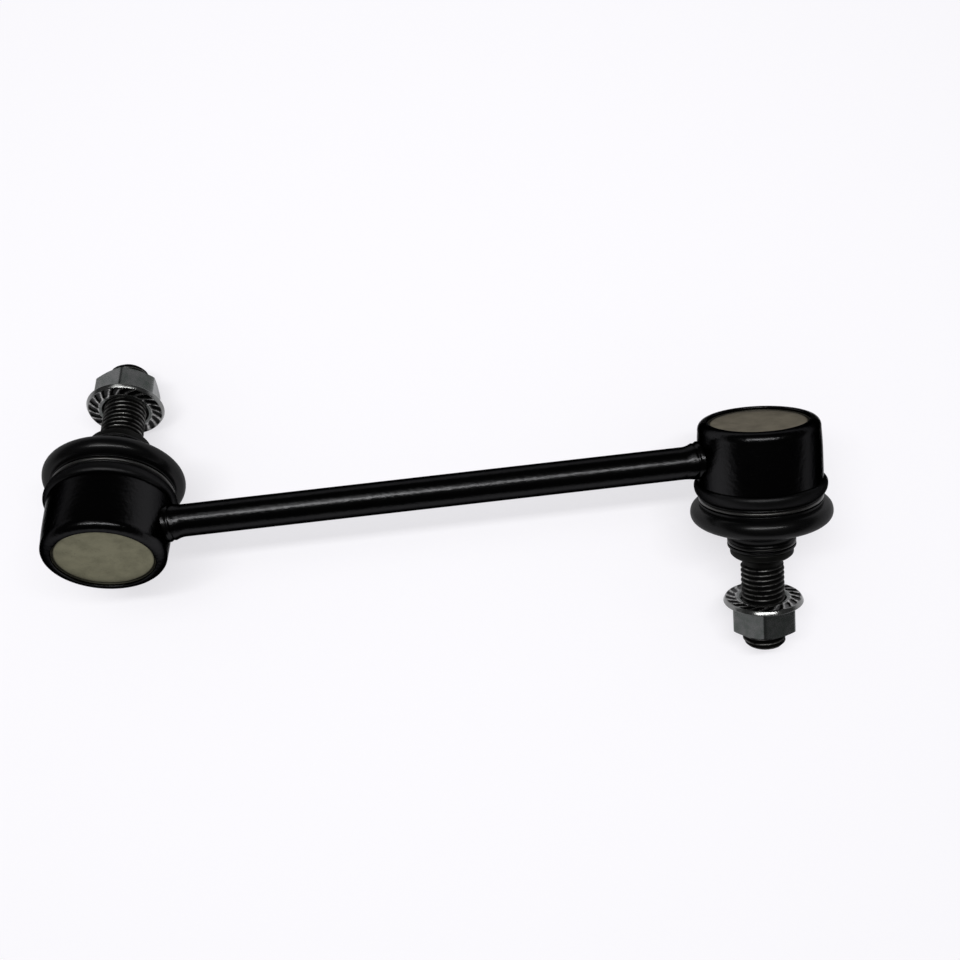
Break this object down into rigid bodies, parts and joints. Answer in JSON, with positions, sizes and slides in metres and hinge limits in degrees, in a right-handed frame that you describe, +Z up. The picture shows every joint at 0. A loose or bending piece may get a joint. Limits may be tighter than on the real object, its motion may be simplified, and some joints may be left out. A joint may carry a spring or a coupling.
{
  "type": "stabilizer link",
  "caption": "Stabilizer link: a straight round rod with a clocked ball-joint housing at each end, rubber dust boots and threaded studs with serrated flange nuts.",
  "frame": {"origin": "middle of the underside: centre of the bounding box in X and Y, and the surface that the link stands on in Z", "axes": "+X along the rod from the left end to the right end, +Z up with both studs dipping 26.5 degrees below level, +Y the way the left stud points"},
  "size_m": [0.2176, 0.1058, 0.0501],
  "materials": {
    "black_paint": "glossy black enamel over steel",
    "cap_plate": "dull greenish grey coated steel",
    "seat_plastic": "moulded low-friction plastic",
    "stud_steel": "dark phosphate-coated steel",
    "boot_rubber": "satin black rubber",
    "ring_steel": "dark spring steel wire",
    "nut_zinc": "grey zinc plating"
  },
  "bodies": {
    "link": {"link_rod": "black_paint", "left_housing": "black_paint", "right_housing": "black_paint", "left_weld_bead": "black_paint", "right_weld_bead": "black_paint", "left_cap_plate": "cap_plate", "right_cap_plate": "cap_plate", "left_ball_seat": "seat_plastic", "right_ball_seat": "seat_plastic", "left_boot_upper_ring": "ring_steel", "right_boot_upper_ring": "ring_steel"},
    "left_boot": {"left_dust_boot": "boot_rubber"},
    "left_boot_lip": {"left_boot_lower_ring": "ring_steel"},
    "left_stud": {"left_ball_stud": "stud_steel"},
    "left_nut": {"left_flange_nut": "nut_zinc"},
    "right_boot": {"right_dust_boot": "boot_rubber"},
    "right_boot_lip": {"right_boot_lower_ring": "ring_steel"},
    "right_stud": {"right_ball_stud": "stud_steel"},
    "right_nut": {"right_flange_nut": "nut_zinc"}
  },
  "joints": [
    {"name": "left_swing_across", "type": "hinge", "parent": "link", "child": "left_boot", "pos_m": [-0.0895, 0.00161, 0.03077], "axis": [1, 0, 0], "range_deg": [-18, 18], "deforming": ["left_dust_boot"]},
    {"name": "left_swing_along", "type": "hinge", "parent": "left_boot", "child": "left_boot_lip", "pos_m": [-0.0895, 0.00161, 0.03077], "axis": [0, -0.4462, -0.8949], "range_deg": [-18, 18], "deforming": ["left_dust_boot"]},
    {"name": "left_stud_turn", "type": "hinge", "parent": "left_boot_lip", "child": "left_stud", "pos_m": [-0.0895, 0.00161, 0.03077], "axis": [0, 0.8949, -0.4462], "continuous": true},
    {"name": "left_nut_travel", "type": "slide", "parent": "left_stud", "child": "left_nut", "axis": [0, 0.8949, -0.4462], "range_m": [-0.0127, 0.012]},
    {"name": "right_swing_across", "type": "hinge", "parent": "link", "child": "right_boot", "pos_m": [0.0895, -0.00161, 0.03077], "axis": [1, 0, 0], "range_deg": [-18, 18], "deforming": ["right_dust_boot"]},
    {"name": "right_swing_along", "type": "hinge", "parent": "right_boot", "child": "right_boot_lip", "pos_m": [0.0895, -0.00161, 0.03077], "axis": [0, 0.4462, -0.8949], "range_deg": [-18, 18], "deforming": ["right_dust_boot"]},
    {"name": "right_stud_turn", "type": "hinge", "parent": "right_boot_lip", "child": "right_stud", "pos_m": [0.0895, -0.00161, 0.03077], "axis": [0, -0.8949, -0.4462], "continuous": true},
    {"name": "right_nut_travel", "type": "slide", "parent": "right_stud", "child": "right_nut", "axis": [0, -0.8949, -0.4462], "range_m": [-0.0127, 0.012]}
  ]
}
